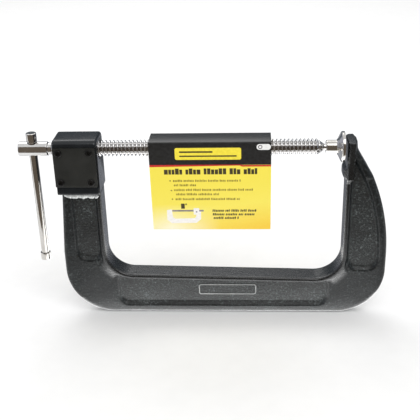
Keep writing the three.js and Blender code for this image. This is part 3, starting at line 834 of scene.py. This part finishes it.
def screw_ends():
    shoulder = THREAD_START + 0.1
    profile = rounded([(0, HANDLE_END), (HANDLE_R, HANDLE_END), (HANDLE_R, -158), (THREAD_ROOT_R, -157.2),
                       (THREAD_ROOT_R, shoulder), (0, shoulder)], [0, 0.9, 0.7, 0.4, 0, 0], 5)
    handle = turned_object("screw_handle", profile, "x", (0, 0, AXIS_Z), CHROME, None,
                           segments=72, ride=False)
    carve(handle, cylinder_tool(4.0, "z", (BAR_X, 0, 0), 150, 190))
    settle(handle, "spindle")
    neck_start = THREAD_END - 0.1
    ball = [(BALL_R * math.sin(a), BALL_X - BALL_R * math.cos(a)) for a in np.linspace(0.765, math.pi, 16)]
    neck = [(0, neck_start), (NECK_R, neck_start), (2.7, 91.2)] + ball
    turned_object("screw_neck", neck, "x", (0, 0, AXIS_Z), CHROME, "spindle", segments=48)


PAD_BACK, PAD_FACE = 92.7, 109.3
PAD_HUB_R, PAD_R = 6.05, 13.9


def pad():
    """The socket round the ball, then the hub, the cone and the flat disc."""
    socket = [(0, 103.2), (4.5, 103.2), (4.5, 94.1), (3.4, 94.1), (3.4, PAD_BACK)]
    hub = [(PAD_HUB_R, PAD_BACK), (PAD_HUB_R, 102.3), (8.0, 103.6), (13.2, 106.2)]
    disc = [(PAD_R, 106.9), (PAD_R, PAD_FACE), (0, PAD_FACE)]
    profile = rounded(socket + hub + disc, [0, 0.2, 0, 0, 0.3, 1.7, 0.9, 1.2, 0.5, 0.4, 0.5, 0], 6)
    turned_object("pad", profile, "x", (0, 0, AXIS_Z), NICKEL, "pad", ["swivel_pad"],
                  segments=80)


BAR_R = 3.65
BAR_Z0, BAR_Z1 = 57.6, 183.4
CAP_R, CAP_BORE_R, CAP_END = 4.75, 3.95, 1.1
CAP_FLOOR = 0.9


def tommy():
    profile = rounded([(0, BAR_Z0), (BAR_R, BAR_Z0), (BAR_R, BAR_Z1), (0, BAR_Z1)], [0, 0.5, 0.5, 0], 4)
    turned_object("bar", profile, "z", (BAR_X, 0, 0), NICKEL, "bar", ["tommy_bar"], segments=56)
    for name, opening, closed, node in (("cap_top", 176.1, BAR_Z1 + CAP_END, "bar_cap_upper"),
                                        ("cap_bottom", 63.6, BAR_Z0 - CAP_END, "bar_cap_lower")):
        way = 1 if closed > opening else -1
        floor = closed - way * CAP_FLOOR
        profile = rounded([(0, floor), (CAP_BORE_R, floor), (CAP_BORE_R, opening), (CAP_R, opening),
                           (CAP_R, closed), (0, closed)], [0, 0.1, 0.15, 0.35, 0.8, 0], 5)
        turned_object(name, profile, "z", (BAR_X, 0, 0), NICKEL, "bar", [node], segments=56)


# ---------------------------------------------------------------- the card

CARD_X0, CARD_X1 = -65.0, 44.0
CARD_TOP, CARD_BOTTOM = 179.0, 90.5
CARD_TOP_HALF, CARD_BOTTOM_HALF = 12.6, 6.5
CARD_T = 0.8
FOLD = 1.2


def card_path():
    """The card's section as (y, z) points, from the front's bottom edge over the top to the back's."""
    front = []
    for t in np.linspace(0, 1, 15):
        bow = 0.5 * math.sin(math.pi * t)
        y = -(CARD_BOTTOM_HALF + (CARD_TOP_HALF - CARD_BOTTOM_HALF) * t + bow)
        front.append((y, CARD_BOTTOM + (CARD_TOP - FOLD - CARD_BOTTOM) * t))
    bend = []
    for a in (30, 60):
        a = math.radians(a)
        bend.append((-(CARD_TOP_HALF - FOLD + FOLD * math.cos(a)), CARD_TOP - FOLD + FOLD * math.sin(a)))
    half = front + bend + [(-(CARD_TOP_HALF - FOLD), CARD_TOP)]
    return half + [(0.0, CARD_TOP - 0.15)] + [(-y, z) for y, z in reversed(half)]


def words(x0, x1, z0, z1, letter, gap, slant=0.0):
    """Blocks the size of letters, in groups the size of words; they spell nothing."""
    shapes = []
    x = x0
    run = RNG.randint(3, 8)
    while x < x1 - 0.4 * letter:
        w = letter * RNG.uniform(0.72, 1.05)
        top = z1 if RNG.random() < 0.35 else z0 + 0.82 * (z1 - z0)
        right = min(x + w, x1)
        shapes.append([(x, z0), (right, z0), (right + slant, top), (x + slant, top)])
        x += w + gap
        run -= 1
        if run == 0:
            x += letter * 0.75
            run = RNG.randint(3, 9)
    return shapes


def ring_shape(cx, cz, r, count=20):
    angles = [2 * math.pi * k / count for k in range(count)]
    return [(cx + r * math.cos(a), cz + r * math.sin(a)) for a in angles]


def rectangle(x0, x1, z0, z1, r=0.0):
    if r > 0:
        return [(px, pz) for px, pz, _, _ in rounded_rectangle(x0, x1, z0, z1, r, 5)]
    return [(x0, z0), (x1, z0), (x1, z1), (x0, z1)]


def card_print():
    """What is printed on one panel: (material number, outline in x and z), later over earlier."""
    black, red, white, plate, text, small, pale, grey = 1, 2, 3, 4, 5, 6, 7, 8
    shapes = [
        (black, rectangle(CARD_X0, CARD_X1, 157.0, CARD_TOP - FOLD)),
        (red, [(CARD_X0, 155.1), (16.0, 156.3), (18.0, 155.2), (CARD_X1, 155.2), (CARD_X1, 156.8),
               (18.5, 156.8), (16.5, 157.2), (CARD_X0, 157.2)]),
        (plate, rectangle(-41.6, 17.4, 162.1, 173.6, 1.6)),
        (black, rectangle(-37.6, 13.4, 165.0, 166.3)),
        (black, rectangle(-37.6, -8.0, 168.9, 170.4)),
        (white, rectangle(31.0, 43.6, 171.3, 176.9, 2.7)),
        (grey, ring_shape(34.2, 174.1, 2.0)),
        (white, ring_shape(34.2, 174.1, 1.1)),
    ]
    shapes += [(text, w) for w in words(-52.1, 31.6, 147.7, 153.6, 3.3, 0.55)]
    for dot_x, dot_z, lines in (
        (-47.0, 141.4, ((-44.4, 17.0, 140.3), (-43.8, -23.0, 135.9))),
        (-46.3, 131.6, ((-43.8, 27.8, 131.1), (-42.0, -3.2, 126.6))),
        (-45.8, 122.7, ((-42.9, 16.4, 121.6),)),
    ):
        shapes.append((small, ring_shape(dot_x, dot_z, 0.75, 12)))
        for x0, x1, z in lines:
            shapes += [(small, w) for w in words(x0, x1, z, z + 2.2, 1.15, 0.42)]
    for x0, x1, z in ((-9.6, 31.0, 109.3), (-9.4, 28.9, 105.4), (-8.7, 14.4, 101.6)):
        shapes += [(text, w) for w in words(x0, x1, z, z + 2.5, 1.3, 0.4, 0.35)]
    clamp = [(-51.6, 101.0), (-47.5, 97.2), (-24.5, 97.6), (-20.3, 101.5), (-20.0, 111.0), (-24.4, 111.0),
             (-24.6, 104.4), (-26.0, 102.6), (-44.0, 102.0), (-46.2, 103.6), (-47.0, 112.0), (-51.5, 111.2)]
    shapes += [
        (text, rectangle(-38.2, -34.8, 112.6, 118.0)),
        (text, rectangle(-34.2, -32.8, 116.6, 118.0)),
        (pale, clamp),
        (grey, rectangle(-46.6, -17.6, 109.6, 111.3)),
        (pale, rectangle(-26.8, -21.6, 106.3, 113.2, 0.6)),
        (grey, ring_shape(-24.2, 109.3, 0.7, 12)),
    ]
    return shapes


def card():
    path = card_path()
    steps = [math.dist(a, b) for a, b in zip(path, path[1:])]
    length = np.concatenate([[0], np.cumsum(steps)])
    total = length[-1]
    z_front = np.array([z for _, z in path])
    front_rows = 15

    def along(z):
        return float(np.interp(z, z_front[:front_rows], length[:front_rows]))

    points, polygons, owners = [], [], []

    def add_polygon(outline, owner):
        base = len(points)
        points.extend(Vector(p) for p in outline)
        polygons.append(list(range(base, base + len(outline))))
        owners.append(owner)

    middle_x = (CARD_X0 + CARD_X1) / 2
    for owner, outline in card_print():
        clipped = [(min(max(px, CARD_X0), CARD_X1), pz) for px, pz in outline]
        add_polygon([(px, along(pz)) for px, pz in clipped], owner)
        add_polygon([(2 * middle_x - px, total - along(pz)) for px, pz in clipped], owner)
    fold_low, fold_high = length[front_rows - 1], total - length[front_rows - 1]
    add_polygon([(CARD_X0, fold_low), (CARD_X1, fold_low), (CARD_X1, fold_high), (CARD_X0, fold_high)], 1)
    edges = []
    for w in length:
        base = len(points)
        points.extend([Vector((CARD_X0, w)), Vector((CARD_X1, w))])
        edges.append((base, base + 1))
    for px in np.linspace(CARD_X0, CARD_X1, 12):
        base = len(points)
        points.extend([Vector((px, 0)), Vector((px, total))])
        edges.append((base, base + 1))
    found, _, faces, _, _, sources = delaunay_2d_cdt(points, edges, polygons, 0, 1e-5, True)
    index = []
    for source in sources:
        index.append(owners[max(source)] if source else 0)
    path = np.array(path)
    vertices = []
    for p in found:
        y, z = (float(np.interp(p[1], length, path[:, k])) for k in (0, 1))
        vertices.append((p[0], y, z))
    inks = [CARD_YELLOW, CARD_BLACK, CARD_RED, CARD_WHITE, CARD_PLATE, CARD_TEXT, CARD_SMALL, CARD_PALE,
            CARD_GREY, CARD_BOARD]
    mesh = bpy.data.meshes.new("card")
    mesh.from_pydata((np.array(vertices) * MM).tolist(), [], faces)
    for ink in inks:
        mesh.materials.append(ink)
    mesh.polygons.foreach_set("material_index", index)
    mesh.update()
    sheet = bpy.data.objects.new("card", mesh)
    bpy.context.scene.collection.objects.link(sheet)
    if sum(f.normal.y * f.area for f in mesh.polygons if f.center.y < 0) > 0:
        mesh.flip_normals()
    thick = sheet.modifiers.new("thick", "SOLIDIFY")
    thick.thickness = CARD_T * MM
    thick.offset = -1.0
    thick.use_even_offset = True
    thick.material_offset = len(inks) - 1
    thick.material_offset_rim = len(inks) - 1
    apply_modifiers(sheet, 30.0)
    settle(sheet, "card", ["card_sleeve"])
    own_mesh(sheet)


# ---------------------------------------------------------------- stage

def repaint(node, material):
    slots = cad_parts[node].material_slots
    for i in range(len(slots)):
        slots[i].material = material


# The camera's place, its pitch, yaw and roll in degrees, and its lens in millimetres.
CAMERA_AT = (25.4, -674.4, 422.0)
CAMERA_TURN = (24.98, -3.19, -1.52)
CAMERA_LENS = 68.57


def camera():
    pitch, yaw, roll = (math.radians(a) for a in CAMERA_TURN)
    forward = Vector((math.sin(yaw) * math.cos(pitch), math.cos(yaw) * math.cos(pitch), -math.sin(pitch)))
    right = Vector((math.cos(yaw), -math.sin(yaw), 0))
    up = right.cross(forward)
    rolled_right = math.cos(roll) * right + math.sin(roll) * up
    rolled_up = math.cos(roll) * up - math.sin(roll) * right
    data = bpy.data.cameras.new("camera")
    data.sensor_width = 36.0
    data.lens = CAMERA_LENS
    data.clip_start = 0.01
    data.clip_end = 50.0
    thing = bpy.data.objects.new("camera", data)
    matrix = Matrix((rolled_right, rolled_up, -forward)).transposed().to_4x4()
    matrix.translation = Vector(CAMERA_AT) * MM
    thing.matrix_world = matrix
    bpy.context.scene.collection.objects.link(thing)
    bpy.context.scene.camera = thing


def stage_plane(name, corners, material, glossy_only=False):
    vertices = [Vector(c) for c in corners]
    mesh = bpy.data.meshes.new(name)
    mesh.from_pydata(vertices, [], [(0, 1, 2, 3)])
    mesh.materials.append(material)
    thing = bpy.data.objects.new(name, mesh)
    bpy.context.scene.collection.objects.link(thing)
    if glossy_only:
        thing.visible_camera = False
        thing.visible_diffuse = False
        thing.visible_shadow = False
        thing.visible_transmission = False
    return thing


def reflector(name, x, y, z, material):
    """A flat card that only reflections see; the one extent that is a single number is its plane."""
    if not isinstance(z, tuple):
        corners = [(x[0], y[0], z), (x[1], y[0], z), (x[1], y[1], z), (x[0], y[1], z)]
    elif not isinstance(y, tuple):
        corners = [(x[0], y, z[0]), (x[1], y, z[0]), (x[1], y, z[1]), (x[0], y, z[1])]
    else:
        corners = [(x, y[0], z[0]), (x, y[1], z[0]), (x, y[1], z[1]), (x, y[0], z[1])]
    return stage_plane(name, corners, material, glossy_only=True)


def area_light(name, place, target, size, power, color=(1, 1, 1)):
    data = bpy.data.lights.new(name, "AREA")
    data.shape = "RECTANGLE"
    data.size, data.size_y = size
    data.energy = power
    data.color = color
    thing = bpy.data.objects.new(name, data)
    thing.location = place
    thing.rotation_euler = (Vector(target) - Vector(place)).to_track_quat("-Z", "Y").to_euler()
    bpy.context.scene.collection.objects.link(thing)


def glow_material(name, color, strength):
    material = bpy.data.materials.new(name)
    material.use_nodes = True
    tree = material.node_tree
    tree.nodes.clear()
    glow = add_node(tree, "ShaderNodeEmission")
    glow.inputs["Color"].default_value = (*color, 1.0)
    glow.inputs["Strength"].default_value = strength
    output = add_node(tree, "ShaderNodeOutputMaterial")
    tree.links.new(glow.outputs["Emission"], output.inputs["Surface"])
    return material


def studio():
    world = bpy.data.worlds.new("studio")
    world.use_nodes = True
    background = world.node_tree.nodes["Background"]
    background.inputs["Color"].default_value = (1.0, 1.0, 1.0, 1.0)
    background.inputs["Strength"].default_value = 0.82
    bpy.context.scene.world = world
    floor = plain_finish("floor", (0.93, 0.93, 0.93), (0.95, 0.95, 0.95), (0.6, 0.7), grain=20.0,
                         strength=0.0, specular=0.0)
    stage_plane("floor", [(-6, -6, -0.0003), (6, -6, -0.0003), (6, 8, -0.0003), (-6, 8, -0.0003)], floor)
    dim = glow_material("flag", (0.30, 0.25, 0.20), 0.5)
    for name, x, y, z, material in (
        ("flag_low", (-1.6, 1.6), (-1.4, -0.15), 0.004, dim),
        ("flag_far", (0.0, 1.6), (0.12, 1.8), 0.004, glow_material("far_card", (0.30, 0.31, 0.34), 1.0)),
        ("flag_far_left", (-1.6, 0.0), (0.12, 1.8), 0.004,
         glow_material("far_left_card", (0.46, 0.48, 0.53), 1.0)),
        ("beam_light", (-0.15, 0.16), (-0.12, -0.02), 0.0002, glow_material("lit_front", (1, 1, 1), 1.9)),
        ("flag_front", (-1.6, 1.6), -1.4, (0.004, 1.75), dim),
        ("flag_back", (-2.2, 2.2), 1.8, (0.004, 1.15), glow_material("grey_card", (0.13, 0.15, 0.17), 1.0)),
        ("flag_left", -1.5, (-1.4, 1.8), (0.004, 1.3), glow_material("left_card", (0.50, 0.52, 0.60), 1.0)),
        ("flag_right", 1.5, (-1.4, 1.8), (0.004, 1.3), glow_material("side_card", (0.25, 0.26, 0.30), 1.0)),
        ("light_table", (-0.15, 0.16), (-0.02, 0.09), 0.0002, glow_material("lit_table", (1, 1, 1), 5.0)),
    ):
        reflector(name, x, y, z, material)
    area_light("key", (0.5, -0.9, 1.6), (0, 0, 0.08), (1.4, 1.0), 9.0)
    area_light("back", (-0.5, 1.2, 1.5), (0, 0, 0.08), (1.6, 0.9), 9.0)
    view = bpy.context.scene.view_settings
    view.view_transform = "Standard"
    view.look = "None"
    view.exposure = 0.0


casting()
name_plate()
head()
cover()
weld_bead(-1, "bead_front", ["weld_bead_front"])
weld_bead(1, "bead_back", ["weld_bead_back"])
button()
spring()
thread()
screw_ends()
pad()
tommy()
card()
for inner_piece in ("half_nut", "stem_bush"):
    repaint(inner_piece, BRONZE)
for inner_piece in ("release_block", "spring_seat", "ball_ring"):
    repaint(inner_piece, STEEL)
for inner_piece in ("guide_bush_outer", "guide_bush_inner"):
    repaint(inner_piece, BLACK_STEEL)
camera()
studio()
